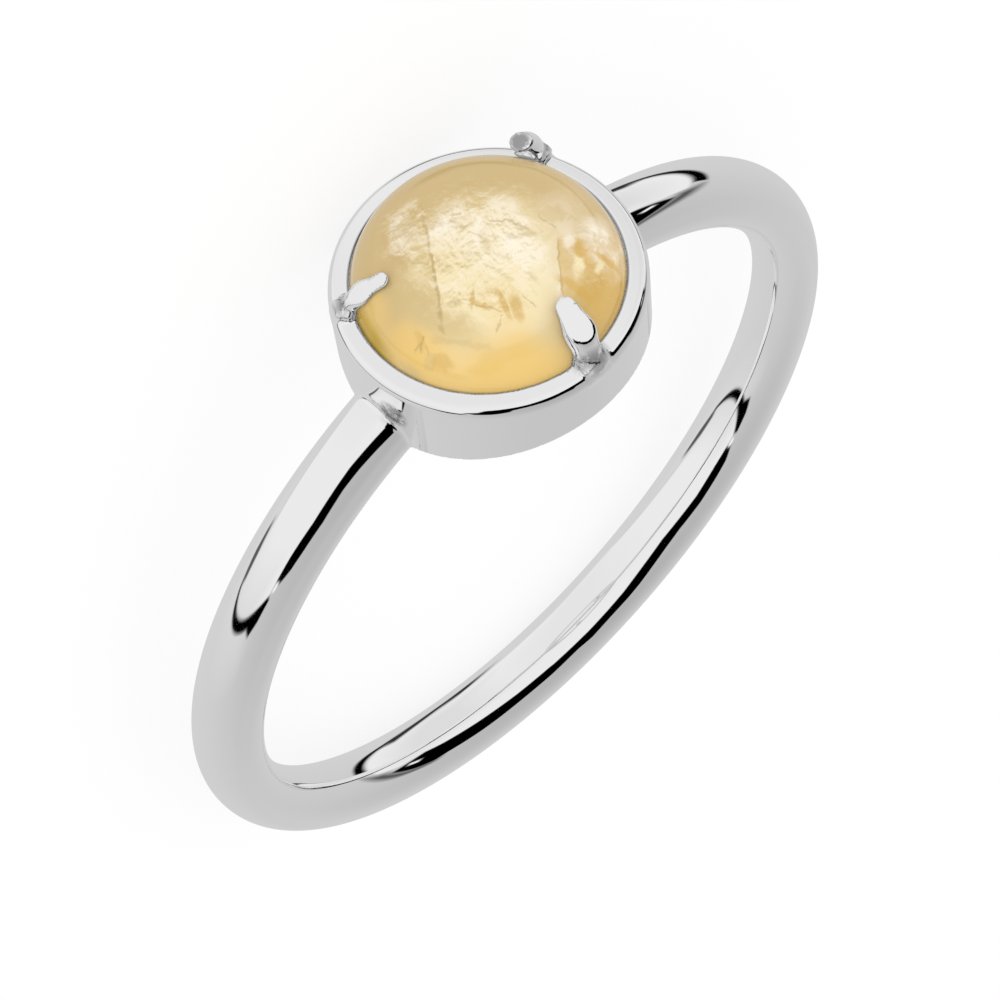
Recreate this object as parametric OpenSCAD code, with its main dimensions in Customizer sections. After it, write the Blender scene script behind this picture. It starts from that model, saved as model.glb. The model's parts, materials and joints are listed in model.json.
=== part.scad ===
/* [Band] */
// Diameter of the finger hole
finger_d = 17.2; // [14:0.1:22]
// Thickness of the band from the finger to its outer crown
band_t = 1.6; // [1.4:0.02:2]
// Width of the band where its sides bulge most
band_w = 1.7; // [1.4:0.02:2]
// Width of the flat strip inside the band that lies on the finger
flat_w = 0.94; // [0.4:0.02:1.1]
// How far out the widest line lies, as a share of the thickness
bulge_share = 0.58; // [0.55:0.01:0.7]
// Radius of the band's round shoulders, either side of its crown
shoulder_r = 0.52; // [0.3:0.01:0.55]

/* [Head] */
// Outer diameter of the bezel cup
cup_d = 7.68; // [7.3:0.02:8.4]
// Draft of the cup's wall, which narrows a little towards the finger, in degrees
wall_draft = 2; // [0:0.5:4]
// Height of the rounded rim above the middle of the band
rim_h = 1.36; // [1.2:0.01:1.8]
// How much the rim climbs from its rounded edge to the stone
rim_rise = 0.08; // [0:0.01:0.2]
// Radius of the rounded outer edge of the rim
rim_round = 0.24; // [0.05:0.01:0.3]
// How far the cup's saddle is let into the band, as a share of the band's thickness
saddle_share = 0.44; // [0.3:0.01:0.7]
// Lean of the head along the finger, towards the side that the ring lies on, in degrees
head_lean = 4.4; // [0:0.1:8]
// Turn of the head along the band, in degrees
head_swing = 1.8; // [0:0.1:4]
// Diameter of the open window behind the stone
window_d = 5.4; // [4:0.1:6]

/* [Stone] */
// Diameter of the cabochon at its widest
stone_d = 6.66; // [6.5:0.02:6.8]
// Height of the stone's flat back above the middle of the band
stone_foot_h = 0.45; // [0.4:0.01:0.6]
// Height of the stone's widest line above the middle of the band
girdle_h = 1.05; // [0.95:0.01:1.15]
// Rise of the dome above the widest line
dome_h = 2.1; // [2:0.05:2.4]
// Radius of the dome's round shoulder
dome_side_r = 1.8; // [1.4:0.05:1.9]
// Bevel round the flat back
stone_bevel = 0.2; // [0.1:0.05:0.3]
// Gap between the stone and the metal that holds it
stone_gap = 0.03; // [0.02:0.01:0.05]

/* [Claws] */
// Diameter of a claw at the rim
claw_d = 0.9; // [0.7:0.02:1]
// Diameter that a claw tapers to before its end is filed
claw_tip_d = 0.62; // [0.5:0.02:0.7]
// Distance from the head's axis to the middle of a claw at the rim
claw_ring_r = 3.42; // [3.35:0.01:3.5]
// Height of the claws' ends above the middle of the band
claw_tip_h = 2.75; // [2.5:0.05:3]
// Depth of a claw's root in the cup's wall
claw_root = 0.5; // [0.3:0.05:0.6]
// Slope of the long flat that is filed on each claw's end, in degrees
facet_tilt = 38; // [30:1:45]

/* [Hidden] */
round_fn = 96;
small_fn = 48;
finger_r = finger_d / 2;
mid_r = finger_r + band_t / 2;
saddle_r = finger_r + saddle_share * band_t;
cup_r = cup_d / 2;
stone_r = stone_d / 2;
window_r = window_d / 2;
// Enough to run past whatever a cutter goes through
past = 6;
// Lets the arcs of one outline overlap, so that they join without a step
hair = 0.002;
// How far inside the cup's wall the claws' roots end, and how far the window is filed into the
// band
flush = 0.04;
// The three claws, each pushed over by hand: turn of its foot and of its end about the head's
// axis, in degrees, and how far its end stays from that axis
FOOT_TURN = 0;
END_TURN = 1;
END_R = 2;
claws = [
    [91, 95, 2.65],
    [205, 206, 2.95],
    [323, 333, 2.7],
];

// A flat oval is drawn as a wide arc on its axis and two tight ones that meet it smoothly:
// how far the wide arc's centre lies behind the widest line, for a half width, a rise and a
// tight radius
function crown_drop(half, rise, tight) =
    (pow(half - tight, 2) - pow(rise - tight, 2)) / (2 * (rise - tight));
// Half width of the wide arc where the tight one takes over
function crown_edge(half, rise, tight) =
    let (drop = crown_drop(half, rise, tight))
    (half - tight) * (rise + drop) / (rise + drop - tight);

bulge_r = finger_r + bulge_share * band_t;
crown_h = band_t * (1 - bulge_share);
shoulder_off = band_w / 2 - shoulder_r;
band_drop = crown_drop(band_w / 2, crown_h, shoulder_r);
cap_drop = crown_drop(stone_r, dome_h, dome_side_r);

corner_r = cup_r - rim_round;
corner_h = rim_h - rim_round;

// The ring lies on the lower end of the cup's saddle and on the far side of the band: its tilt is
// that of the line from the one to the other's round shoulder
saddle_h = (saddle_r - mid_r + cup_r * sin(head_lean)) / cos(head_lean);
foot_r = cup_r - (corner_h - saddle_h) * tan(wall_draft);
foot_down = saddle_h * sin(head_lean) + foot_r * cos(head_lean);
rest_line = [saddle_r + bulge_r, foot_down - shoulder_off];
rest_tilt = atan2(rest_line.y, rest_line.x) - asin(shoulder_r / norm(rest_line));
lift = bulge_r * sin(rest_tilt) + shoulder_off * cos(rest_tilt) + shoulder_r;
front_y = -mid_r * cos(rest_tilt) - (girdle_h - cap_drop) * cos(rest_tilt - head_lean)
    - dome_h - cap_drop;
back_y = (bulge_r - band_drop) * cos(rest_tilt) + crown_h + band_drop;

// The ring is drawn with the finger's axis on Z and the stone towards -Y; this lays it on its
// side, centred over the origin
module lying() {
    translate([0, -(front_y + back_y) / 2, lift])
        rotate([-rest_tilt, 0, 0])
            children();
}

// The head's own frame: its axis on Z, zero at the middle of the band
module at_head() {
    translate([0, -mid_r, 0])
        rotate([0, 0, -head_swing])
            rotate([90 + head_lean, 0, 0])
                children();
}

// Everything beyond a height, and out to a given half width
module above(height, half) {
    translate([-half, height])
        square([2 * half, 2 * past]);
}

// The crown of a flat oval, standing on its widest line
module crown(half, rise, tight, grow = 0) {
    drop = crown_drop(half, rise, tight);
    intersection() {
        translate([0, -drop])
            circle(r = rise + drop + grow, $fn = round_fn);
        above(0, crown_edge(half, rise, tight));
    }
    intersection() {
        for (side = [-1, 1])
            translate([side * (half - tight), 0])
                circle(r = tight + grow, $fn = round_fn);
        above(0, past);
    }
}

// Section of the band: a domed outside, round shoulders, and straight flanks down to the flat
// strip that lies on the finger
module band_section() {
    half = flat_w / 2;
    to_corner = [bulge_r - finger_r, half - shoulder_off];
    touch = 180 - atan2(to_corner.y, to_corner.x) - acos(shoulder_r / norm(to_corner));
    flank = [bulge_r + shoulder_r * cos(touch), shoulder_off + shoulder_r * sin(touch)];
    translate([bulge_r, 0])
        rotate(-90)
            crown(band_w / 2, crown_h, shoulder_r);
    for (side = [-1, 1])
        translate([bulge_r, side * shoulder_off])
            circle(r = shoulder_r + hair, $fn = round_fn);
    polygon([
        [finger_r, -half],
        [flank.x, -flank.y],
        [bulge_r, -shoulder_off],
        [bulge_r, shoulder_off],
        flank,
        [finger_r, half],
    ]);
}

// The stone, grown by a gap all round
module stone_body(grow = 0) {
    foot = stone_foot_h - grow;
    wide = stone_r + grow;
    rotate_extrude($fn = round_fn)
        intersection() {
            union() {
                polygon([
                    [0, foot],
                    [wide - stone_bevel, foot],
                    [wide, foot + stone_bevel],
                    [wide, girdle_h],
                    [0, girdle_h],
                ]);
                translate([0, girdle_h])
                    crown(stone_r, dome_h, dome_side_r, grow);
            }
            square(past);
        }
}

module band() {
    rotate_extrude($fn = round_fn)
        band_section();
}

// The turned cup: straight wall, rounded outer edge and a rim that climbs to the stone
module cup_blank() {
    low = past / 2;
    rotate_extrude($fn = round_fn) {
        polygon([
            [0, -low],
            [cup_r - (low + corner_h) * tan(wall_draft), -low],
            [cup_r, corner_h],
            [corner_r, corner_h],
            [corner_r, rim_h],
            [stone_r - stone_bevel, rim_h + rim_rise],
            [0, rim_h + rim_rise],
        ]);
        translate([corner_r, corner_h])
            circle(r = rim_round, $fn = small_fn);
    }
}

module cup() {
    difference() {
        at_head()
            cup_blank();
        cylinder(h = 3 * past, r = saddle_r, center = true, $fn = round_fn);
    }
}

// The window bored through the cup behind the stone, which also files the band down a little
// below the saddle
module window() {
    difference() {
        at_head()
            cylinder(h = 2 * past, r = window_r, center = true, $fn = round_fn);
        cylinder(h = 3 * past, r = saddle_r - flush, center = true, $fn = round_fn);
    }
}

// Half outline of a claw: a tapered wire with a round end
module claw_outline(reach) {
    intersection() {
        union() {
            polygon([
                [0, -claw_root],
                [claw_d / 2, -claw_root],
                [claw_tip_d / 2, reach],
                [0, reach],
            ]);
            translate([0, reach])
                circle(d = claw_tip_d, $fn = small_fn);
        }
        translate([0, -past])
            square([past, 2 * past]);
    }
}

module claw(row) {
    foot = [claw_ring_r * cos(row[FOOT_TURN]), claw_ring_r * sin(row[FOOT_TURN]), rim_h];
    end = [row[END_R] * cos(row[END_TURN]), row[END_R] * sin(row[END_TURN]), claw_tip_h];
    way = end - foot;
    reach = norm(way);
    difference() {
        intersection() {
            translate(foot)
                rotate([0, acos(way.z / reach), atan2(way.y, way.x)])
                    rotate_extrude($fn = small_fn)
                        claw_outline(reach);
            // Its root is filed flush with the cup's wall
            cylinder(h = past, r = cup_r - flush, $fn = round_fn);
        }
        // The filed end, laid back over the stone
        translate(end)
            rotate([0, facet_tilt, row[END_TURN]])
                translate([-past / 2, -past / 2, 0])
                    cube(past);
    }
}

// Band, cup and claws are soldered, so they are one solid
module ring_mount() {
    color("silver")
        lying()
            difference() {
                union() {
                    band();
                    cup();
                    at_head()
                        for (row = claws)
                            claw(row);
                }
                window();
                at_head()
                    stone_body(stone_gap);
            }
}

module cabochon() {
    color("goldenrod")
        lying()
            at_head()
                stone_body();
}

ring_mount();
cabochon();
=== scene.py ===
import json
import math

import bpy
import numpy as np
from mathutils import Matrix, Vector


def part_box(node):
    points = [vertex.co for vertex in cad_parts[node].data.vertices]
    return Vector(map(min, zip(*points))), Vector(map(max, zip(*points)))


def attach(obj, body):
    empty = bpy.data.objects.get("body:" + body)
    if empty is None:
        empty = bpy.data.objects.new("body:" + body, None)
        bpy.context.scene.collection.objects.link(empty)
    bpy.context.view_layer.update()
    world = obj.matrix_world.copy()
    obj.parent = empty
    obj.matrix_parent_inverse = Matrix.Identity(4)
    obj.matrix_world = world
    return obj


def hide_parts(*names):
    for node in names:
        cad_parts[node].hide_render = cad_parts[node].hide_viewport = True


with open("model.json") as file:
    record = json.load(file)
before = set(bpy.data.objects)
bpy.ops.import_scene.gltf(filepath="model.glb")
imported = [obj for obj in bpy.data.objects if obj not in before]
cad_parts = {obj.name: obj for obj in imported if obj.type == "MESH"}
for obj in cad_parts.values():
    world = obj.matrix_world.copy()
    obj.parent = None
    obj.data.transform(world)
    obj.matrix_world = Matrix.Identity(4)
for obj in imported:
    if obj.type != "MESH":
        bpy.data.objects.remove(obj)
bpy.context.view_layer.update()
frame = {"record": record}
MM = 0.001

# The finger hole. The ring is drawn as on a jeweller's mandrel: the finger's axis on Z, the stone
# towards -Y, in millimetres. The hole's mount says how wide it is and how the finished ring lies.
hole = frame["record"]["mounts"][0]
finger_r = hole["dims"]["r_mm"]
rest_tilt = math.atan2(hole["axis"][1], hole["axis"][2])
lying = Matrix.Translation(Vector(hole["pos_m"])) @ Matrix.Rotation(-rest_tilt, 4, "X")


# The band: silver wire rolled to a domed outside with round shoulders, and rounder inside for
# comfort. It came off the rolls a little uneven, fuller on one side, and is bent round and closed.
mount_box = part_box("ring_mount")
band_t = (mount_box[1].x - mount_box[0].x) / (2 * MM) - finger_r
band_w = 1.7
bulge_share = 0.58
shoulder_r = 0.52
inside_r = 0.95
inside_off = 0.1
flank_r = 0.624
flank_to = math.radians(142)
mid_r = finger_r + band_t / 2
bulge_r = finger_r + bulge_share * band_t
shoulder_off = band_w / 2 - shoulder_r


def flat_oval(half, rise, tight):
    """How far behind its widest line a flat oval's wide arc is centred, and that arc's radius."""
    drop = ((half - tight) ** 2 - (rise - tight) ** 2) / (2 * (rise - tight))
    return drop, rise + drop


def facing(turn):
    return np.array((math.cos(turn), math.sin(turn)))


def common_turn(first, first_r, second, second_r):
    """Normal angle of the straight line that touches one round and then the next, turning left."""
    gap = np.subtract(second, first)
    turn = math.atan2(gap[1], gap[0]) - math.acos((first_r - second_r) / np.hypot(*gap))
    return turn % (2 * math.pi)


def convex_distance(across, up, arcs):
    """Distance from a convex outline whose arcs are (centre, radius, first and last normal angle)."""
    far = np.full(np.shape(across), -np.inf)
    for centre, radius, first, last in arcs:
        dx = across - centre[0]
        dy = up - centre[1]
        turn = np.arctan2(dy, dx)
        middle = (first + last) / 2
        turn = middle + (turn - middle + math.pi) % (2 * math.pi) - math.pi
        off = turn - np.clip(turn, first, last)
        far = np.maximum(far, np.hypot(dx, dy) * np.cos(off) - radius)
    return far


band_drop, crown_r = flat_oval(band_w / 2, band_t * (1 - bulge_share), shoulder_r)
crown_turn = math.atan2(shoulder_off, band_drop)
inside_at = (finger_r + inside_r, inside_off)
shoulder_at = (bulge_r, shoulder_off)
flank_at = np.array(inside_at) + (inside_r - flank_r) * facing(flank_to)
flank_from = common_turn(shoulder_at, shoulder_r, flank_at, flank_r)
BAND_ARCS = [
    ((bulge_r - band_drop, 0), crown_r, -crown_turn, crown_turn),
    (shoulder_at, shoulder_r, crown_turn, flank_from),
    (flank_at, flank_r, flank_from, flank_to),
    (inside_at, inside_r, flank_to, 1.5 * math.pi),
    ((bulge_r, -shoulder_off), shoulder_r, -math.pi / 2, -crown_turn),
]


def band_distance(p):
    return convex_distance(np.hypot(p[:, 0], p[:, 1]), p[:, 2], BAND_ARCS)


# The bezel cup: a turned silver cup, saddled and soldered astride the band, with a rounded outer
# edge, a bright rim that climbs a little to the stone, and a window bored behind it to let light in.
cup_r = 7.68 / 2
wall_draft = math.radians(2)
rim_h = 1.36
rim_rise = 0.08
rim_round = 0.3
saddle_share = 0.44
saddle_r = finger_r + saddle_share * band_t
window_r = 5.4 / 2
window_sink = 0.04
cup_reach = 2
head_lean = math.radians(4.4)
head_swing = math.radians(1.8)
broken_edge = 0.06
lip_edge = 0.1
head_turn = Matrix.Rotation(-head_swing, 3, "Z") @ Matrix.Rotation(math.pi / 2 + head_lean, 3, "X")
head_frame = np.array(head_turn)
head_origin = np.array((0, -mid_r, 0))

# The stone that the cup is made for: a round cabochon, its flat back down in the cup.
stone_r = 6.66 / 2
stone_foot_h = 0.45
girdle_h = 1.05
dome_h = 2.1
dome_side_r = 1.8
stone_bevel = 0.2
seat_gap = 0.008
dome_drop, dome_r = flat_oval(stone_r, dome_h, dome_side_r)
dome_turn = math.atan2(stone_r - dome_side_r, dome_drop)


def to_head(p):
    """Mandrel points in the head's own frame: its axis on Z, zero at the middle of the band."""
    return (p - head_origin) @ head_frame


def blend_union(a, b, reach):
    """Two distances joined with a fillet of solder that reaches so far."""
    near = np.maximum(reach - np.abs(a - b), 0) / reach
    return np.minimum(a, b) - near * near * reach / 4


def blend_cut(a, cutter, reach):
    """A distance cut back by a cutter, with the edge broken over so far."""
    return -blend_union(-a, cutter, reach)


rim_turn = math.pi / 2 - math.atan2(rim_rise, cup_r - rim_round - stone_r + stone_bevel)
CUP_ARCS = [((cup_r - rim_round, rim_h - rim_round), rim_round, -wall_draft, rim_turn)]
STONE_ARCS = [
    ((stone_r - stone_bevel, stone_foot_h), 0, -math.pi / 2, -math.pi / 4),
    ((stone_r, stone_foot_h + stone_bevel), 0, -math.pi / 4, 0),
    ((stone_r - dome_side_r, girdle_h), dome_side_r, 0, math.pi / 2 - dome_turn),
    ((0, girdle_h - dome_drop), dome_r, math.pi / 2 - dome_turn, math.pi / 2),
]


def cup_distance(p, q):
    around = np.hypot(q[:, 0], q[:, 1])
    blank = np.maximum(convex_distance(around, q[:, 2], CUP_ARCS), -q[:, 2] - cup_reach)
    return blend_cut(blank, np.hypot(p[:, 0], p[:, 1]) - saddle_r, broken_edge)


def window_distance(p, q):
    around = np.hypot(q[:, 0], q[:, 1])
    sunk = saddle_r - window_sink - np.hypot(p[:, 0], p[:, 1])
    return np.maximum(np.maximum(around - window_r, sunk), -q[:, 2] - cup_reach)


def stone_distance(q):
    return convex_distance(np.hypot(q[:, 0], q[:, 1]), q[:, 2], STONE_ARCS)


# The three claws: tapered silver wires, soldered on the rim in rough lumps, pushed over the stone by
# hand and filed, two with a long flat on the upper side and one across its end. Their roots end
# under the rim and are filed flush with the cup's wall.
claw_root = 0.5
claw_flush = 0.04
claw_blend = 0.12
claw_room = 2.6
facet_edge = 0.06
knee_blend = 0.3
lump_count = 9
lump_blend = 0.16
lump_seed = 5
LUMP_TURN = (-0.4, 0.4)
LUMP_REACH = (0.8, 1.1)
LUMP_RISE = (-0.03, 0.12)
LUMP_SIZE = (0.08, 0.13)
CLAWS = [
    {
        "foot": (3.42, 91, 1.36), "end": (2.72, 93, 2.76), "bend": (0.05, 0.1),
        "foot_r": 0.38, "end_r": 0.28, "facet_tilt": 33, "facet_turn": 88, "facet_off": -0.06,
    },
    {
        "foot": (3.42, 329, 1.36), "end": (2.62, 335, 2.7), "bend": (0.07, 0.1),
        "foot_r": 0.26, "end_r": 0.2, "facet_tilt": 47, "facet_turn": 338, "facet_off": -0.02,
    },
    {
        "foot": (3.62, 208, 1.5), "end": (3.2, 211, 2.45), "bend": (0, 0),
        "foot_r": 0.31, "end_r": 0.26, "facet_tilt": -16, "facet_turn": 250, "facet_off": 0.0,
    },
]


def polar(radius, degrees, height):
    turn = math.radians(degrees)
    return np.array((radius * math.cos(turn), radius * math.sin(turn), height))


def claw_lumps(claw):
    """Where the solder stands up round a claw's foot, and how big each lump of it is."""
    chance = np.random.default_rng(lump_seed + round(claw["foot"][1]))
    turns = np.linspace(0, 2 * math.pi, lump_count, endpoint=False)
    turns = turns + chance.uniform(*LUMP_TURN, lump_count)
    reach = claw["foot_r"] * chance.uniform(*LUMP_REACH, lump_count)
    rise = chance.uniform(*LUMP_RISE, lump_count)
    places = np.stack((reach * np.cos(turns), reach * np.sin(turns), rise), axis=1)
    return polar(*claw["foot"]) + places, chance.uniform(*LUMP_SIZE, lump_count)


def taper_distance(q, start, stop, start_r, stop_r, run_back=0.0):
    """Distance from a tapered length of wire, run on a little behind its start."""
    way = stop - start
    share = np.clip((q - start) @ way / (way @ way), -run_back / np.linalg.norm(way), 1)
    off = np.linalg.norm(q - start - share[:, None] * way, axis=1)
    return off - start_r - (stop_r - start_r) * share


def claw_distance(q, claw):
    foot = polar(*claw["foot"])
    end = polar(*claw["end"])
    out, rise = claw["bend"]
    knee = (foot + end) / 2 + polar(out, claw["foot"][1], rise)
    knee_r = (claw["foot_r"] + claw["end_r"]) / 2
    wire = blend_union(
        taper_distance(q, foot, knee, claw["foot_r"], knee_r, claw_root),
        taper_distance(q, knee, end, knee_r, claw["end_r"]), knee_blend)
    tilt = math.radians(claw["facet_tilt"])
    facet = polar(math.sin(tilt), claw["facet_turn"], math.cos(tilt))
    wire = blend_cut(wire, claw["facet_off"] - (q - end) @ facet, facet_edge)
    for place, radius in zip(*claw_lumps(claw)):
        wire = blend_union(wire, np.linalg.norm(q - place, axis=1) - radius, lump_blend)
    wire = np.maximum(wire, np.hypot(q[:, 0], q[:, 1]) - cup_r + claw_flush)
    wire = np.maximum(wire, rim_h - rim_round - q[:, 2])
    return blend_cut(wire, stone_distance(q) - seat_gap, facet_edge)


# Solder makes the mount one skin, so band, cup and claws are meshed whole. A net is cast over them
# on rings round the finger, close together under the head and wide apart round the rest of the
# band. Then its knots are drawn on to the skin.
solder_reach = 0.13
net_step = 0.06
net_inside = 0.15
net_beside = 0.6
net_above = 4.2
head_half_turn = 0.47
band_step_turn = 0.03
NET_R = np.arange(finger_r - net_inside, mid_r + net_above, net_step)
NET_Z = np.arange(-cup_r - net_beside, cup_r + net_beside, net_step)


def silver_distance(p):
    """Distance from the soldered mount: band, cup and claws in one, with the stone's seat cut."""
    q = to_head(p)
    silver = blend_union(band_distance(p), cup_distance(p, q), solder_reach)
    silver = blend_cut(silver, window_distance(p, q), broken_edge)
    silver = blend_cut(silver, stone_distance(q) - seat_gap, lip_edge)
    for claw in CLAWS:
        beside = np.linalg.norm(q - polar(*claw["foot"]), axis=1) < claw_room
        silver[beside] = blend_union(silver[beside], claw_distance(q[beside], claw), claw_blend)
    return silver


def net_turns():
    """Angles of the rings, from the far side of the head round the band and back, not repeated."""
    middle = -math.pi / 2
    close = np.arange(-head_half_turn, head_half_turn, net_step / (mid_r + rim_h))
    rest = 2 * math.pi - (close[-1] - close[0])
    count = round(rest / band_step_turn)
    wide = close[-1] + rest * np.arange(1, count) / count
    return middle + np.concatenate((close, wide)), len(close)


def on_rings(turn, radius, z):
    return np.stack((radius * np.cos(turn), radius * np.sin(turn), z), axis=-1)


def sample_net(turns, close_count):
    """The mount's distance at each knot of the net: the band's alone is the same on every ring."""
    r_grid, z_grid = np.meshgrid(NET_R, NET_Z, indexing="ij")
    plain = band_distance(on_rings(0.0, r_grid.ravel(), z_grid.ravel())).reshape(r_grid.shape)
    field = np.repeat(plain[None], len(turns), axis=0)
    for ring in range(close_count):
        knots = on_rings(turns[ring], r_grid.ravel(), z_grid.ravel())
        field[ring] = silver_distance(knots).reshape(r_grid.shape)
    return field


def cast_net(field, turns):
    """One vertex in each cell that the skin crosses, and a quad round each crossed edge."""
    rings = len(turns)
    inside = field < 0
    inside = np.concatenate((inside, inside[:1]))
    values = np.concatenate((field, field[:1]))
    round_turns = np.append(turns, turns[0] + 2 * math.pi)
    corners = np.stack([
        inside[t:t + rings, r:inside.shape[1] - 1 + r, z:inside.shape[2] - 1 + z]
        for t in (0, 1) for r in (0, 1) for z in (0, 1)
    ])
    crossed = corners.any(0) & ~corners.all(0)
    number = np.full(crossed.shape, -1)
    number[crossed] = np.arange(crossed.sum())
    cell_t, cell_r, cell_z = np.nonzero(crossed)
    total = np.zeros((len(cell_t), 3))
    count = np.zeros(len(cell_t))
    axes = (round_turns, NET_R, NET_Z)
    for axis in range(3):
        others = [a for a in range(3) if a != axis]
        for first in (0, 1):
            for second in (0, 1):
                start = [cell_t, cell_r, cell_z]
                start[others[0]] = start[others[0]] + first
                start[others[1]] = start[others[1]] + second
                stop = list(start)
                stop[axis] = stop[axis] + 1
                a = values[tuple(start)]
                b = values[tuple(stop)]
                cut = (a < 0) != (b < 0)
                share = np.where(cut, a / np.where(cut, a - b, 1), 0)
                point = np.stack([axes[k][start[k]] for k in range(3)], axis=1)
                point[:, axis] += share * (axes[axis][stop[axis]] - axes[axis][start[axis]])
                total += point * cut[:, None]
                count += cut
    middle = total / count[:, None]
    points = on_rings(middle[:, 0], middle[:, 1], middle[:, 2])
    quads = []
    for axis in range(3):
        step = [0, 0, 0]
        step[axis] = 1
        sizes = [rings, len(NET_R) - (axis == 1), len(NET_Z) - (axis == 2)]
        low = inside[:sizes[0], :sizes[1], :sizes[2]]
        high = inside[step[0]:step[0] + sizes[0], step[1]:step[1] + sizes[1], step[2]:step[2] + sizes[2]]
        where = np.nonzero(low != high)
        b, c = [a for a in range(3) if a != axis]
        ring_of = []
        for back_b, back_c in ((1, 1), (0, 1), (0, 0), (1, 0)):
            cell = list(where)
            cell[b] = cell[b] - back_b
            cell[c] = cell[c] - back_c
            cell[0] = cell[0] % rings
            ring_of.append(number[tuple(cell)])
        quad = np.stack(ring_of, axis=1)
        flip = low[where] if axis != 1 else ~low[where]
        quads.append(np.where(flip[:, None], quad[:, ::-1], quad))
    return points, np.concatenate(quads)


def slope(distance, p, hair=0.002):
    """Gradient of a distance at each point, which is the skin's normal there."""
    return np.stack([
        distance(p + hair * unit) - distance(p - hair * unit) for unit in np.eye(3)
    ], axis=1) / (2 * hair)


def settle(distance, p, rounds=4):
    """Draws points on to the skin along its normal, and gives the normals."""
    for _ in range(rounds):
        normal = slope(distance, p)
        p = p - (distance(p) / (normal**2).sum(1))[:, None] * normal
    normal = slope(distance, p)
    return p, normal / np.linalg.norm(normal, axis=1, keepdims=True)


def mesh_piece(name, points, faces, normals):
    """A smooth piece from mandrel points, laid on its side as the ring is."""
    mesh = bpy.data.meshes.new(name)
    mesh.from_pydata((points * MM).tolist(), [], faces.tolist())
    mesh.polygons.foreach_set("use_smooth", [True] * len(mesh.polygons))
    piece = bpy.data.objects.new(name, mesh)
    bpy.context.scene.collection.objects.link(piece)
    mesh.transform(lying)
    turn = np.array(lying.to_3x3())
    mesh.normals_split_custom_set_from_vertices((normals @ turn.T).tolist())
    mesh.update()
    return piece


turns, close_count = net_turns()
points, quads = cast_net(sample_net(turns, close_count), turns)
points, normals = settle(silver_distance, points)
mount = mesh_piece("mount", points, quads, normals)


# The mount's finish: silver polished to a mirror. Only the solder stays rough, grey and pitted,
# where no wheel reaches, and a grey line of painted shade darkens the silver where it meets the stone.
def node_of(tree, kind, links=(), **settings):
    """A node with its named inputs set or linked, and its own settings made."""
    node = tree.nodes.new(kind)
    for name, value in settings.items():
        setattr(node, name, value)
    for name, value in dict(links).items():
        if isinstance(value, bpy.types.NodeSocket):
            tree.links.new(value, node.inputs[name])
        else:
            node.inputs[name].default_value = value
    return node


def maths(tree, operation, *terms):
    """What a Math node makes of numbers and sockets."""
    node = tree.nodes.new("ShaderNodeMath")
    node.operation = operation
    for slot, term in zip(node.inputs, terms):
        if isinstance(term, (int, float)):
            slot.default_value = term
        else:
            tree.links.new(term, slot)
    return node.outputs[0]


head = lying @ Matrix.Translation(Vector(head_origin) * MM) @ head_turn.to_4x4()
into_head = head.inverted()


def head_place(tree):
    """A place on the stone or on the metal round it, in millimetres in the head's frame."""
    return node_of(tree, "ShaderNodeMapping", {
        "Vector": node_of(tree, "ShaderNodeTexCoord").outputs["Object"],
        "Location": into_head.translation / MM,
        "Rotation": into_head.to_euler(),
        "Scale": (1 / MM, 1 / MM, 1 / MM),
    }, vector_type="POINT").outputs[0]


def fading(tree, value, start, stop):
    """Full up to the start, nothing from the stop on, and smooth between them."""
    return node_of(tree, "ShaderNodeMapRange", {
        "Value": value, "From Min": start, "From Max": stop, "To Min": 1.0, "To Max": 0.0,
    }, interpolation_type="SMOOTHSTEP").outputs[0]


def tinted(tree, base, mask, colour, strength):
    """A colour, or what a socket puts out, turned towards another colour where a mask is full."""
    mix = tree.nodes.new("ShaderNodeMix")
    mix.data_type = "RGBA"
    mix.clamp_factor = True
    tree.links.new(maths(tree, "MULTIPLY", mask, strength), mix.inputs["Factor"])
    first, second = (socket for socket in mix.inputs if socket.type == "RGBA")
    if isinstance(base, tuple):
        first.default_value = (*base, 1)
    else:
        tree.links.new(base, first)
    second.default_value = (*colour, 1)
    return next(socket for socket in mix.outputs if socket.type == "RGBA")


# Hairlines that a polishing wheel leaves: their turn in degrees and how the grain is drawn out
HAIRS = [
    (25, (26, 1.1, 9)),
    (-40, (1.3, 30, 12)),
]
hair_width = 0.035
hair_share = 0.6
noise_middle = 0.5


def polish_marks():
    """Fine hairlines and cloudiness that polishing and wear leave, as a roughness."""
    group = bpy.data.node_groups.new("polish marks", "ShaderNodeTree")
    group.interface.new_socket("Place", in_out="INPUT", socket_type="NodeSocketVector")
    group.interface.new_socket("Least", in_out="INPUT", socket_type="NodeSocketFloat")
    group.interface.new_socket("Marks", in_out="INPUT", socket_type="NodeSocketFloat")
    group.interface.new_socket("Roughness", in_out="OUTPUT", socket_type="NodeSocketFloat")
    given = group.nodes.new("NodeGroupInput").outputs
    hairs = []
    for turn, stretch in HAIRS:
        drawn = node_of(group, "ShaderNodeMapping", {
            "Vector": given["Place"], "Rotation": (0.3, 0.2, math.radians(turn)), "Scale": stretch,
        }).outputs[0]
        grain = node_of(group, "ShaderNodeTexNoise", {"Vector": drawn, "Scale": 1.0, "Detail": 2.0})
        off = maths(group, "ABSOLUTE", maths(group, "SUBTRACT", grain.outputs["Fac"], noise_middle))
        hairs.append(fading(group, off, 0.0, hair_width))
    haze = node_of(group, "ShaderNodeTexNoise", {"Vector": given["Place"], "Scale": 1.6, "Detail": 3.0})
    hairs = maths(group, "MAXIMUM", *hairs)
    marks = maths(group, "MULTIPLY_ADD", hairs, hair_share, haze.outputs["Fac"])
    rough = maths(group, "MULTIPLY_ADD", marks, given["Marks"], given["Least"])
    group.links.new(rough, group.nodes.new("NodeGroupOutput").inputs["Roughness"])
    return group


marks_group = polish_marks()


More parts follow.
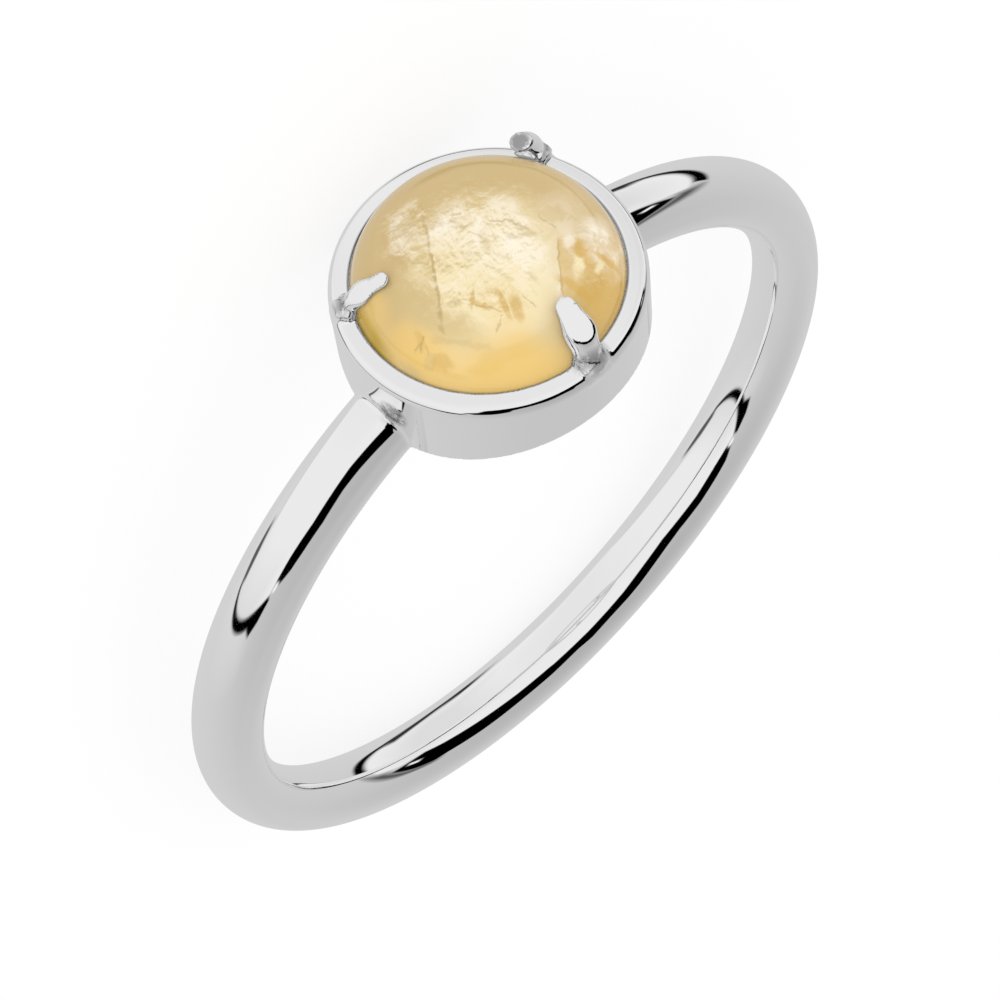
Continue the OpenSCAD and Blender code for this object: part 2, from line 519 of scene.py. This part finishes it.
def marked(tree, place, least, marks):
    """The polish marks at a place: the least roughness, and what the marks add to it."""
    node = tree.nodes.new("ShaderNodeGroup")
    node.node_tree = marks_group
    tree.links.new(place, node.inputs["Place"])
    node.inputs["Least"].default_value = least
    node.inputs["Marks"].default_value = marks
    return node.outputs["Roughness"]


# Where solder shows, in the head's frame: the claws' feet, the back claw's end and the band's near
# join, each with its reach
foot_rise = 0.08
foot_margin = 0.02
SOLDER_SPOTS = [
    (polar(*claw["foot"]) + (0, 0, foot_rise), claw["foot_r"] + foot_margin) for claw in CLAWS
]
SOLDER_SPOTS += [(polar(*CLAWS[2]["end"]), 0.22), ((3.8, 0.55, 0.15), 0.34)]
solder_core = 0.7
solder_fade = 1.5
solder_rough = 0.14
crust_scale = 4.5
pit_from = 0.5
pit_to = 0.36
pit_strength = 0.8
# How near the stone's side the painted shade along the contact begins and ends, and how strong it is
contact_shade_from = 0.04
contact_shade_to = 0.09
contact_shade_strength = 0.95
dent_depth = 0.06 * MM
BRIGHT = (0.97, 0.97, 0.97)
PIT_GREY = (0.25, 0.25, 0.26)
CONTACT_SHADE_GREY = (0.3, 0.3, 0.31)

silver = bpy.data.materials.new("silver")
silver.use_nodes = True
metal = silver.node_tree
shader = metal.nodes["Principled BSDF"]
spot = head_place(metal)
soldered = 0.0
for middle, reach in SOLDER_SPOTS:
    off = node_of(metal, "ShaderNodeVectorMath", {0: spot, 1: tuple(middle)}, operation="DISTANCE")
    near = fading(metal, off.outputs["Value"], reach * solder_core, reach * solder_fade)
    soldered = maths(metal, "MAXIMUM", near, soldered)
crust = node_of(metal, "ShaderNodeTexNoise", {
    "Vector": spot, "Scale": crust_scale, "Detail": 4.0, "Roughness": 0.6,
}).outputs["Fac"]
pitted = maths(metal, "MULTIPLY", soldered, fading(metal, crust, pit_from, pit_to))
around = node_of(metal, "ShaderNodeVectorMath", {0: spot, 1: (1, 1, 0)}, operation="MULTIPLY")
around = node_of(metal, "ShaderNodeVectorMath", {0: around.outputs[0]}, operation="LENGTH")
height = node_of(metal, "ShaderNodeSeparateXYZ", {0: spot}).outputs["Z"]
shoulder = node_of(metal, "ShaderNodeCombineXYZ", {
    "X": maths(metal, "SUBTRACT", around.outputs["Value"], stone_r - dome_side_r),
    "Y": maths(metal, "SUBTRACT", height, girdle_h),
})
shoulder = node_of(metal, "ShaderNodeVectorMath", {0: shoulder.outputs[0]}, operation="LENGTH")
# Painted shade: silver within a hair of the stone's side, above its widest line, is turned grey
contact_shade = fading(metal, shoulder.outputs["Value"], dome_side_r + contact_shade_from, dome_side_r + contact_shade_to)
contact_shade = maths(metal, "MULTIPLY", contact_shade, maths(metal, "GREATER_THAN", height, girdle_h))
bright = tinted(metal, BRIGHT, pitted, PIT_GREY, pit_strength)
bright = tinted(metal, bright, contact_shade, CONTACT_SHADE_GREY, contact_shade_strength)
metal.links.new(bright, shader.inputs["Base Color"])
rough = marked(metal, spot, least=0.015, marks=0.025)
rough = maths(metal, "MULTIPLY_ADD", soldered, solder_rough, rough)
metal.links.new(rough, shader.inputs["Roughness"])
shader.inputs["Metallic"].default_value = 1
dents = node_of(metal, "ShaderNodeBump", {
    "Strength": 0.6, "Distance": dent_depth, "Height": maths(metal, "MULTIPLY", soldered, crust),
})
metal.links.new(dents.outputs[0], shader.inputs["Normal"])
mount.data.materials.append(silver)
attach(mount, "root")
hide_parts("ring_mount")


# The citrine: a round cabochon of golden quartz, cut with a flat back, polished to a smooth dome
# and held down in the cup by the claws. Veils and cracks cloud the quartz round its middle.
stone_segments = 192
stone_rings = 128
pole_height = 0.999999
least_across = 1e-6
same_point = 1e-7


def dome_tree():
    """A ball moved out until each point lies where one of the stone's arcs has the same normal."""
    tree = bpy.data.node_groups.new("cabochon", "GeometryNodeTree")
    face = tree.interface
    named = {
        "Widest radius": stone_r * MM,
        "Side radius": dome_side_r * MM,
        "Crown radius": dome_r * MM,
        "Crown turn": math.pi / 2 - dome_turn,
        "Crown drop": dome_drop * MM,
        "Widest height": girdle_h * MM,
        "Back height": stone_foot_h * MM,
        "Bevel": stone_bevel * MM,
    }
    for name, value in named.items():
        face.new_socket(name, in_out="INPUT", socket_type="NodeSocketFloat").default_value = value
    face.new_socket("Finish", in_out="INPUT", socket_type="NodeSocketMaterial")
    face.new_socket("Stone", in_out="OUTPUT", socket_type="NodeSocketGeometry")
    given = tree.nodes.new("NodeGroupInput").outputs
    ball = tree.nodes.new("GeometryNodeMeshUVSphere")
    ball.inputs["Segments"].default_value = stone_segments
    ball.inputs["Rings"].default_value = stone_rings
    ball.inputs["Radius"].default_value = 1
    place = tree.nodes.new("GeometryNodeInputPosition")
    parts = tree.nodes.new("ShaderNodeSeparateXYZ")
    tree.links.new(place.outputs[0], parts.inputs[0])
    up = parts.outputs["Z"]
    flat = maths(tree, "SUBTRACT", 1.0, maths(tree, "MULTIPLY", up, up))
    flat = maths(tree, "SQRT", maths(tree, "MAXIMUM", 0.0, flat))
    crown = maths(tree, "GREATER_THAN", up, maths(tree, "SINE", given["Crown turn"]))
    dome = maths(tree, "GREATER_THAN", up, 0.0)
    back = maths(tree, "LESS_THAN", up, -math.sqrt(0.5))

    def pick(share, yes, no):
        other = maths(tree, "MULTIPLY", maths(tree, "SUBTRACT", 1.0, share), no)
        return maths(tree, "ADD", maths(tree, "MULTIPLY", share, yes), other)

    side_centre = maths(tree, "SUBTRACT", given["Widest radius"], given["Side radius"])
    side = maths(tree, "MULTIPLY_ADD", given["Side radius"], flat, side_centre)
    back_r = maths(tree, "SUBTRACT", given["Widest radius"], given["Bevel"])
    back_across = maths(tree, "MULTIPLY", back_r, maths(tree, "MULTIPLY", flat, math.sqrt(2)))
    crown_across = maths(tree, "MULTIPLY", given["Crown radius"], flat)
    below_across = pick(back, back_across, given["Widest radius"])
    across = pick(dome, pick(crown, crown_across, side), below_across)
    crown_centre = maths(tree, "SUBTRACT", given["Widest height"], given["Crown drop"])
    crown_up = maths(tree, "MULTIPLY_ADD", given["Crown radius"], up, crown_centre)
    side_up = maths(tree, "MULTIPLY_ADD", given["Side radius"], up, given["Widest height"])
    bevel_up = maths(tree, "ADD", given["Back height"], given["Bevel"])
    height = pick(dome, pick(crown, crown_up, side_up), pick(back, given["Back height"], bevel_up))
    join = tree.nodes.new("ShaderNodeCombineXYZ")
    off_pole = maths(tree, "LESS_THAN", maths(tree, "ABSOLUTE", up), pole_height)
    scale = maths(tree, "DIVIDE", across, maths(tree, "MAXIMUM", flat, least_across))
    scale = maths(tree, "MULTIPLY", off_pole, scale)
    tree.links.new(maths(tree, "MULTIPLY", parts.outputs["X"], scale), join.inputs["X"])
    tree.links.new(maths(tree, "MULTIPLY", parts.outputs["Y"], scale), join.inputs["Y"])
    tree.links.new(height, join.inputs["Z"])
    move = tree.nodes.new("GeometryNodeSetPosition")
    tree.links.new(ball.outputs["Mesh"], move.inputs["Geometry"])
    tree.links.new(join.outputs[0], move.inputs["Position"])
    join_up = tree.nodes.new("GeometryNodeMergeByDistance")
    join_up.inputs["Distance"].default_value = same_point
    tree.links.new(move.outputs[0], join_up.inputs["Geometry"])
    smooth = tree.nodes.new("GeometryNodeSetShadeSmooth")
    tree.links.new(join_up.outputs[0], smooth.inputs["Geometry"])
    real = tree.nodes.new("GeometryNodeRealizeInstances")
    tree.links.new(smooth.outputs[0], real.inputs[0])
    paint = tree.nodes.new("GeometryNodeSetMaterial")
    tree.links.new(real.outputs[0], paint.inputs["Geometry"])
    tree.links.new(given["Finish"], paint.inputs["Material"])
    out = tree.nodes.new("NodeGroupOutput")
    tree.links.new(paint.outputs[0], out.inputs[0])
    return tree


def grown(name, tree, **chosen):
    """The piece that a node tree makes, as plain mesh."""
    holder = bpy.data.objects.new(name, bpy.data.meshes.new(name))
    bpy.context.scene.collection.objects.link(holder)
    growth = holder.modifiers.new("growth", "NODES")
    growth.node_group = tree
    for socket in tree.interface.items_tree:
        if socket.in_out == "INPUT" and socket.name in chosen:
            growth[socket.identifier] = chosen[socket.name]
    seen = holder.evaluated_get(bpy.context.evaluated_depsgraph_get())
    mesh = bpy.data.meshes.new_from_object(seen)
    holder.modifiers.remove(growth)
    holder.data = mesh
    return holder


def wandered(tree, place, scale, reach, detail=4.0):
    """The same place, led astray by a noise, which tears the edge of whatever is drawn with it."""
    noise = node_of(tree, "ShaderNodeTexNoise", {
        "Vector": place, "Scale": scale, "Detail": detail, "Roughness": 0.62,
    })
    centred = node_of(tree, "ShaderNodeVectorMath", {
        0: noise.outputs["Color"], 1: (noise_middle, noise_middle, noise_middle),
    }, operation="SUBTRACT").outputs[0]
    return node_of(tree, "ShaderNodeVectorMath", {
        0: centred, 1: (reach, reach, 0), 2: place,
    }, operation="MULTIPLY_ADD").outputs[0]


def flat_place(tree, place, centre, turn, half):
    """A place as seen from a mark's own middle, along its own length, in its own half sizes."""
    moved = node_of(tree, "ShaderNodeMapping", {
        "Vector": place,
        "Location": (*centre, 0),
        "Rotation": (0, 0, math.radians(turn)),
        "Scale": (*half, 1),
    }, vector_type="TEXTURE").outputs[0]
    flat = node_of(tree, "ShaderNodeVectorMath", {0: moved, 1: (1, 1, 0)}, operation="MULTIPLY")
    return flat.outputs[0]


def cloud(tree, place, centre, turn, half, soft):
    """A soft oval, full in its middle and fading over its edge."""
    near = flat_place(tree, place, centre, turn, half)
    far_out = node_of(tree, "ShaderNodeVectorMath", {0: near}, operation="LENGTH").outputs["Value"]
    return fading(tree, far_out, 1 - soft, 1 + soft)


# Where a crack and a clean break fade along their half length, and across their half width
CRACK_ENDS = (0.75, 1.1)
CRACK_SIDES = (0.2, 1.0)
PANE_ENDS = (0.7, 1.15)
PANE_SHADE = (0.0, 1.0)
PANE_EDGE = (0.0, -0.12)


def line_sides(tree, place, start, stop, half_width):
    """How far along a line and to its left a place lies, in half lengths and half widths."""
    middle = ((start[0] + stop[0]) / 2, (start[1] + stop[1]) / 2)
    run = (stop[0] - start[0], stop[1] - start[1])
    turn = math.degrees(math.atan2(run[1], run[0]))
    near = flat_place(tree, place, middle, turn, (math.hypot(*run) / 2, half_width))
    sides = node_of(tree, "ShaderNodeSeparateXYZ", {0: near})
    return sides.outputs["X"], sides.outputs["Y"]


def crack(tree, place, start, stop, half_width):
    """A thin line from one place to another, fading at its ends and to both sides."""
    along_it, beside_it = line_sides(tree, place, start, stop, half_width)
    length = fading(tree, maths(tree, "ABSOLUTE", along_it), *CRACK_ENDS)
    width = fading(tree, maths(tree, "ABSOLUTE", beside_it), *CRACK_SIDES)
    return maths(tree, "MULTIPLY", length, width)


def pane(tree, place, start, stop, reach):
    """Shade on the left of a clean break that runs from one place to another."""
    along_it, beside_it = line_sides(tree, place, start, stop, reach)
    length = fading(tree, maths(tree, "ABSOLUTE", along_it), *PANE_ENDS)
    behind = fading(tree, beside_it, *PANE_SHADE)
    before = fading(tree, beside_it, *PANE_EDGE)
    return maths(tree, "MULTIPLY", length, maths(tree, "MULTIPLY", behind, before))


def rough_field(tree, place, scale):
    """The broken grey ground of the veils and of their faces."""
    return node_of(tree, "ShaderNodeTexNoise", {
        "Vector": place, "Scale": scale, "Detail": 5.0, "Roughness": 0.6, "Distortion": 0.3,
    }).outputs["Fac"]


def relief(tree, place, scale, shift, gain):
    """Light and shade on the broken faces of a veil, as a value either side of nought."""
    beside = node_of(tree, "ShaderNodeVectorMath", {0: place, 1: shift}, operation="ADD").outputs[0]
    drop = maths(tree, "SUBTRACT", rough_field(tree, place, scale), rough_field(tree, beside, scale))
    return maths(tree, "MULTIPLY", drop, gain)


# Tones of the quartz: honey where it is clear and thick, pale where veils scatter the light
TAN = (0.62, 0.45, 0.20)
HONEY = (0.83, 0.56, 0.17)
AMBER = (0.66, 0.42, 0.11)
DEEP = (0.46, 0.29, 0.0)
PALE = (0.91, 0.78, 0.48)
CREAM = (0.96, 0.88, 0.72)
DUSK = (0.64, 0.48, 0.21)
SHADE = (0.50, 0.36, 0.14)
# Soft bodies of colour, then white veils, then small patches: middle, turn, half sizes and fade in
# the head's frame, tone and strength
BODIES = [
    ((2.7, 2.0), -52, (2.7, 1.15), 0.5, HONEY, 0.95),
    ((-1.3, 2.6), 20, (1.3, 0.65), 0.6, AMBER, 0.8),
    ((-2.2, 2.3), 50, (0.9, 0.35), 0.6, AMBER, 0.5),
    ((0.55, 0.85), 45, (2.0, 1.75), 0.4, PALE, 0.85),
    ((0.7, 1.9), 0, (0.9, 0.5), 0.5, PALE, 0.35),
    ((2.15, 0.35), 100, (1.5, 0.4), 0.5, DUSK, 0.75),
    ((3.2, -0.82), 76, (0.9, 0.22), 0.6, DEEP, 1.0),
    ((3.3, 0.75), 102, (0.6, 0.14), 0.6, DUSK, 0.7),
    ((2.75, -1.0), 75, (0.7, 0.3), 0.6, HONEY, 0.6),
    ((1.6, 2.75), -35, (1.5, 0.5), 0.6, HONEY, 0.8),
    ((2.75, 0.7), 105, (0.9, 0.3), 0.6, HONEY, 0.6),
    ((1.05, 1.95), 60, (0.8, 0.45), 0.6, HONEY, 0.3),
]
VEILS = [
    ((-0.45, 0.95), 60, (0.95, 0.5), 0.4, CREAM, 0.7),
    ((-0.1, 0.35), 30, (0.85, 0.6), 0.4, CREAM, 0.7),
    ((0.3, -0.5), -60, (0.95, 0.6), 0.35, CREAM, 0.85),
    ((0.1, -1.1), 20, (0.5, 0.36), 0.4, CREAM, 0.5),
    ((1.15, -1.4), 60, (0.55, 0.38), 0.4, CREAM, 0.7),
    ((1.35, -0.7), 50, (0.5, 0.3), 0.5, PALE, 0.55),
    ((-2.1, 1.8), 50, (0.65, 0.4), 0.6, CREAM, 0.9),
    ((-1.8, 0.75), 30, (0.8, 0.5), 0.7, CREAM, 0.35),
    ((-1.35, 1.6), 60, (0.6, 0.35), 0.6, CREAM, 0.35),
    ((-0.75, -0.1), 70, (0.6, 0.4), 0.5, CREAM, 0.4),
    ((0.75, -2.0), 0, (0.5, 0.18), 0.5, CREAM, 0.35),
    ((-0.65, 1.75), 50, (0.6, 0.25), 0.4, CREAM, 0.6),
    ((1.45, 0.55), 45, (0.6, 0.5), 0.5, PALE, 0.6),
]
PATCHES = [
    ((0.72, 1.85), 60, (0.3, 0.14), 0.4, AMBER, 0.7),
    ((1.28, 1.25), 115, (0.28, 0.06), 0.4, AMBER, 0.7),
    ((0.9, 1.6), 70, (0.34, 0.07), 0.5, AMBER, 0.8),
    ((1.3, 1.0), 40, (0.24, 0.05), 0.5, AMBER, 0.7),
    ((-1.5, 1.8), 70, (0.45, 0.16), 0.5, AMBER, 0.9),
    ((-0.75, 2.45), 110, (0.5, 0.12), 0.5, AMBER, 0.8),
    ((-1.9, 2.15), 120, (0.3, 0.1), 0.5, AMBER, 0.8),
    ((-1.15, 2.05), 30, (0.28, 0.1), 0.5, PALE, 0.7),
    ((-1.6, 2.25), 20, (0.2, 0.07), 0.5, PALE, 0.8),
    ((-1.25, 1.95), 60, (0.2, 0.1), 0.4, PALE, 0.75),
    ((-1.45, 1.4), 20, (0.2, 0.12), 0.5, CREAM, 0.6),
    ((0.05, 0.15), 60, (0.35, 0.13), 0.5, DUSK, 0.45),
    ((2.08, 0.68), 60, (0.13, 0.07), 0.5, SHADE, 0.6),
    ((2.3, 0.95), 80, (0.1, 0.05), 0.5, SHADE, 0.5),
    ((2.86, 1.08), 112, (0.16, 0.11), 0.25, DUSK, 0.45),
    ((2.75, 0.65), 75, (0.2, 0.08), 0.5, AMBER, 0.5),
    ((2.72, 1.35), 115, (0.25, 0.12), 0.4, AMBER, 0.55),
]
# Clean breaks, shaded on their left: start, stop, reach of the shade, tone and strength
PANES = [
    ((2.1, 0.75), (0.35, -1.75), 0.5, DUSK, 0.5),
    ((-1.35, 1.15), (-0.3, 2.4), 0.45, AMBER, 0.55),
    ((0.0, 2.0), (0.05, 0.9), 0.35, PALE, 0.4),
]
# Cracks: start, stop, half width and strength
CRACKS = [
    ((0.42, -1.65), (2.28, 0.98), 0.05, 0.6),
    ((1.1, -0.65), (2.02, 0.66), 0.035, 0.55),
    ((-0.33, 2.35), (-1.3, 1.2), 0.03, 0.6),
    ((-1.42, 1.0), (-1.42, 0.4), 0.04, 0.45),
    ((-0.95, 0.62), (-0.7, 0.05), 0.06, 0.5),
    ((-0.72, 0.08), (-0.4, -0.2), 0.04, 0.6),
    ((1.05, 1.7), (1.18, 1.4), 0.03, 0.6),
    ((1.2, 1.42), (1.5, 0.98), 0.035, 0.5),
    ((1.08, 1.75), (1.5, 1.95), 0.025, 0.5),
    ((2.66, 0.66), (2.88, 0.78), 0.05, 0.65),
    ((2.79, 0.7), (2.95, 0.58), 0.045, 0.6),
    ((2.75, 0.82), (2.78, 1.02), 0.035, 0.4),
    ((0.02, 0.1), (0.16, -0.35), 0.05, 0.45),
    ((0.36, 2.15), (0.42, 1.75), 0.03, 0.45),
    ((1.75, 2.1), (2.62, 0.85), 0.1, 0.22),
    ((-0.1, -0.85), (0.1, -1.0), 0.05, 0.4),
    ((1.35, -0.45), (1.6, -0.85), 0.05, 0.4),
    ((0.75, -1.95), (1.1, -2.15), 0.04, 0.3),
    ((-0.2, -0.7), (-0.45, -1.05), 0.05, 0.3),
]
# The clouded part of the stone, where its broken faces catch the light: middle, turn, half sizes
# and strength
CLOUDED = [
    ((0.3, 0.1), 45, (1.7, 1.5), 1.0),
    ((1.0, -1.3), 60, (1.0, 0.7), 1.0),
    ((-1.6, 1.8), 45, (0.9, 0.5), 0.4),
]
ragged_share = 0.6
cloud_fade = 0.45
# Broken faces inside, broad and fine: how close together, how lit from one side, and how strongly
BROAD_FACES = (1.7, (0.05, 0.035, 0), 5.2)
FINE_FACES = (0.9, (0.12, 0.08, 0), 3.0)
shade_strength = 0.9

citrine = bpy.data.materials.new("citrine")
citrine.use_nodes = True
quartz = citrine.node_tree
shader = quartz.nodes["Principled BSDF"]
place = head_place(quartz)
drifted = wandered(quartz, place, scale=0.55, reach=0.5, detail=2.0)
torn = wandered(quartz, place, scale=1.1, reach=0.6)
torn = wandered(quartz, torn, scale=3.2, reach=0.42, detail=8.0)
shaky = wandered(quartz, place, scale=1.3, reach=0.25)
shaky = wandered(quartz, shaky, scale=6.0, reach=0.16, detail=6.0)
straight = wandered(quartz, place, scale=2.2, reach=0.09, detail=5.0)
# TAN is the quartz's own ground tone and, left bare along the rim, also a painted dark reflection
tone = TAN
for centre, turn, half, soft, colour, strength in BODIES:
    tone = tinted(quartz, tone, cloud(quartz, drifted, centre, turn, half, soft), colour, strength)
ragged = fading(quartz, rough_field(quartz, torn, scale=1.3), start=0.57, stop=0.43)
ragged = maths(quartz, "MULTIPLY_ADD", ragged, ragged_share, 1 - ragged_share)
for centre, turn, half, soft, colour, strength in VEILS:
    veil = maths(quartz, "MULTIPLY", cloud(quartz, torn, centre, turn, half, soft), ragged)
    tone = tinted(quartz, tone, veil, colour, strength)
for start, stop, reach, colour, strength in PANES:
    tone = tinted(quartz, tone, pane(quartz, straight, start, stop, reach), colour, strength)
for centre, turn, half, soft, colour, strength in PATCHES:
    tone = tinted(quartz, tone, cloud(quartz, shaky, centre, turn, half, soft), colour, strength)
for start, stop, half_width, strength in CRACKS:
    tone = tinted(quartz, tone, crack(quartz, shaky, start, stop, half_width), SHADE, strength)
clouded = 0.0
for centre, turn, half, strength in CLOUDED:
    part = maths(quartz, "MULTIPLY", cloud(quartz, torn, centre, turn, half, cloud_fade), strength)
    clouded = maths(quartz, "MAXIMUM", part, clouded)
broad = relief(quartz, drifted, *BROAD_FACES)
broken = maths(quartz, "ADD", broad, relief(quartz, torn, *FINE_FACES))
lit = maths(quartz, "MULTIPLY", maths(quartz, "MAXIMUM", broken, 0.0), clouded)
away_side = maths(quartz, "MULTIPLY", broken, -1.0)
shaded = maths(quartz, "MULTIPLY", maths(quartz, "MAXIMUM", away_side, 0.0), clouded)
tone = tinted(quartz, tone, lit, CREAM, 1.0)
tone = tinted(quartz, tone, shaded, SHADE, shade_strength)
quartz.links.new(tone, shader.inputs["Base Color"])
quartz.links.new(marked(quartz, place, least=0.07, marks=0.06), shader.inputs["Roughness"])
shader.inputs["IOR"].default_value = 1.545

stone = grown("stone", dome_tree(), Finish=citrine)
stone.data.transform(head)
stone.data.update()
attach(stone, "root")
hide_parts("cabochon")
stone.visible_glossy = False


# The camera looks along the photograph's line of sight: the ring's face is turned to it as there,
# from the side and a little from above the floor that the ring lies on.
away = np.array((0, -math.cos(rest_tilt), math.sin(rest_tilt)))
along = np.array((1.0, 0, 0))
axis = np.array((0, math.sin(rest_tilt), math.cos(rest_tilt)))
# The picture's right, down and forward, each by its share of away, along and axis
VIEW = np.array(((-0.0391, -0.7196, 0.6933), (-0.4744, 0.624, 0.621), (-0.8795, -0.3046, -0.3657)))
right, down, forward = VIEW @ np.array((away, along, axis))
far = 0.4058
aim_right = -0.1676
aim_down = 0.1043
aim = np.array(hole["pos_m"]) + (aim_right * right + aim_down * down) * MM
back = -forward / np.linalg.norm(forward)
right = right / np.linalg.norm(right)
up = np.cross(back, right)
camera_data = bpy.data.cameras.new("camera")
camera_data.lens = 601
camera_data.sensor_width = 36
camera_data.clip_start = 0.01
camera_data.clip_end = 10
camera = bpy.data.objects.new("camera", camera_data)
bpy.context.scene.collection.objects.link(camera)
camera.matrix_world = Matrix([
    (right[0], up[0], back[0], aim[0] + far * back[0]),
    (right[1], up[1], back[1], aim[1] + far * back[1]),
    (right[2], up[2], back[2], aim[2] + far * back[2]),
    (0, 0, 0, 1),
])
bpy.context.scene.camera = camera
bpy.context.scene.view_settings.view_transform = "Standard"


# The studio: a near-white floor under the ring, in even light, inside a tent of grey cloth that
# only the polished surfaces mirror. White boards and black strips hang in it where the metal
# shows them. Bearings are from the stone's side (0) towards +X (90), heights from the horizon.
floor_half = 2
FLOOR_CORNERS = [
    (-floor_half, -floor_half, 0),
    (floor_half, -floor_half, 0),
    (floor_half, floor_half, 0),
    (-floor_half, floor_half, 0),
]
floor_mesh = bpy.data.meshes.new("floor")
floor_mesh.from_pydata(FLOOR_CORNERS, [], [(0, 1, 2, 3)])
floor = bpy.data.objects.new("floor", floor_mesh)
bpy.context.scene.collection.objects.link(floor)
floor.visible_glossy = False
paper = bpy.data.materials.new("paper")
paper.use_nodes = True
paper_shader = paper.node_tree.nodes["Principled BSDF"]
paper_shader.inputs["Base Color"].default_value = (0.2, 0.2, 0.2, 1)
paper_shader.inputs["Roughness"].default_value = 1
paper_shader.inputs["Specular IOR Level"].default_value = 0
paper_shader.inputs["Emission Color"].default_value = (1, 1, 1, 1)
paper_shader.inputs["Emission Strength"].default_value = 0.79
floor_mesh.materials.append(paper)

world = bpy.data.worlds.new("daylight")
world.use_nodes = True
world.node_tree.nodes["Background"].inputs["Color"].default_value = (1, 1, 1, 1)
world.node_tree.nodes["Background"].inputs["Strength"].default_value = 1.12
bpy.context.scene.world = world

# The cloth's glow at each height, and the boards: their glow, how soft their edges are in degrees,
# and the bearing and height of each corner
CLOTH_HEIGHTS = (-90, -60, -15, 15, 45, 75, 90)
CLOTH_GLOW = (0.66, 0.66, 0.63, 0.59, 0.52, 0.46, 0.44)
BOARDS = [
    {
        "glow": 0.85, "soft": 2,
        "corners": [(-90, -44), (-60, -66), (0, -82), (30, -80), (60, -66), (80, -50), (93, -42),
                    (93, 27), (80, 31), (69, 37), (58, 36.5), (47, 35.5), (36, 42), (25, 49.5),
                    (14, 52), (3, 53), (-8, 51.5), (-20, 49), (-35, 42), (-51, 32), (-63, 23),
                    (-69, 16), (-81, 15), (-90, 8)],
    },
    {"glow": 0.8, "soft": 30, "corners": [(-20, -80), (28, -80), (28, 10), (-20, 10)]},
    {"glow": 0.7, "soft": 30, "corners": [(84, -70), (110, -70), (110, 10), (84, 10)]},
    {"glow": 0.74, "soft": 20, "corners": [(-76, -50), (-44, -50), (-34, -10), (-34, 12), (-76, 8)]},
    {
        "glow": 0.0, "soft": 1.5,
        "corners": [(95, -50), (98, -50), (99.5, 10), (105, 18), (103, 26), (97, 31), (93, 27)],
    },
    {"glow": 0.0, "soft": 2, "corners": [(-98, -50), (-93, -50), (-91, 0), (-97, 0)]},
    {"glow": 0.1, "soft": 6, "corners": [(-96, 4), (-88, 14), (-88, 44), (-94, 44), (-96, 20)]},
    {
        "glow": 0.0, "soft": 1.5,
        "corners": [(-20, 49), (-8, 51.5), (3, 53), (14, 52), (25, 49.5), (36, 42), (47, 35.5),
                    (58, 36.5), (69, 37), (80, 31), (88, 29), (94, 35), (96, 45), (93, 50), (85, 56),
                    (74, 56), (66, 55.5), (58, 59), (52, 66), (47, 74), (36, 77), (15, 77), (-20, 80)],
    },
    {
        "glow": 0.0, "soft": 1.5,
        "corners": [(-88, 18), (-69, 17), (-63, 23), (-51, 32), (-35, 42), (-19, 48), (-19, 72),
                    (-45, 70), (-57, 63), (-69, 58), (-75, 54), (-82, 44), (-88, 42)],
    },
    {
        "glow": 0.03, "soft": 6,
        "corners": [(-84, -40), (-92, -40), (-100, -52), (-104, -60), (-98, -68), (-86, -69),
                    (-74, -66), (-74, -60), (-86, -58), (-84, -48)],
    },
    {
        "glow": 0.1, "soft": 4,
        "corners": [(84, -50), (91, -45), (98, -48), (95, -60), (88, -65), (80, -60)],
    },
    {"glow": 0.95, "soft": 1, "corners": [(90, 31.5), (93, 29.5), (95.5, 33.5), (92.5, 35)]},
    {"glow": 0.95, "soft": 1.5, "corners": [(-81.5, 22), (-79, 20.5), (-76, 25), (-79, 26.5)]},
]


def covers(bearing, height, board):
    """How far a board covers a direction: fully inside its corners, fading over its edge."""
    inside = np.zeros(bearing.shape, bool)
    edge = np.full(bearing.shape, np.inf)
    corners = board["corners"]
    for (x, y), (next_x, next_y) in zip(corners, corners[1:] + corners[:1]):
        way_x = next_x - x
        way_y = next_y - y
        share = ((bearing - x) * way_x + (height - y) * way_y) / (way_x**2 + way_y**2)
        share = np.clip(share, 0, 1)
        edge = np.minimum(edge, np.hypot(bearing - x - share * way_x, height - y - share * way_y))
        if way_y:
            beyond = bearing < x + (height - y) * way_x / way_y
            inside ^= ((y > height) != (next_y > height)) & beyond
    return np.clip(np.where(inside, edge, -edge) / board["soft"] + 0.5, 0, 1)


tent_r = 0.9
bearings = np.arange(-180, 180)
heights = np.arange(-90, 91)
bearing_grid, height_grid = (side.ravel() for side in np.meshgrid(bearings, heights))
tent_points = tent_r * np.stack((
    np.cos(np.radians(height_grid)) * np.sin(np.radians(bearing_grid)),
    -np.cos(np.radians(height_grid)) * np.cos(np.radians(bearing_grid)),
    np.sin(np.radians(height_grid)),
), axis=-1)
knots = np.arange(bearing_grid.size).reshape(len(heights), len(bearings))
beside = np.roll(knots, -1, axis=1)
tent_faces = np.stack((knots[:-1], beside[:-1], beside[1:], knots[1:]), axis=-1).reshape(-1, 4)
glow = np.interp(height_grid, CLOTH_HEIGHTS, CLOTH_GLOW)
for board in BOARDS:
    glow += (board["glow"] - glow) * covers(bearing_grid, height_grid, board)
tent_mesh = bpy.data.meshes.new("tent")
tent_mesh.from_pydata(tent_points.tolist(), [], tent_faces.tolist())
tent_mesh.attributes.new("glow", "FLOAT", "POINT").data.foreach_set("value", glow)
tent = bpy.data.objects.new("tent", tent_mesh)
bpy.context.scene.collection.objects.link(tent)
tent.visible_camera = False
tent.visible_diffuse = False
tent.visible_shadow = False
cloth = bpy.data.materials.new("cloth")
cloth.use_nodes = True
cloth.cycles.emission_sampling = "NONE"
nodes = cloth.node_tree.nodes
nodes.clear()
read = nodes.new("ShaderNodeAttribute")
read.attribute_name = "glow"
shine = nodes.new("ShaderNodeEmission")
out = nodes.new("ShaderNodeOutputMaterial")
cloth.node_tree.links.new(read.outputs["Fac"], shine.inputs["Strength"])
cloth.node_tree.links.new(shine.outputs[0], out.inputs["Surface"])
tent_mesh.materials.append(cloth)
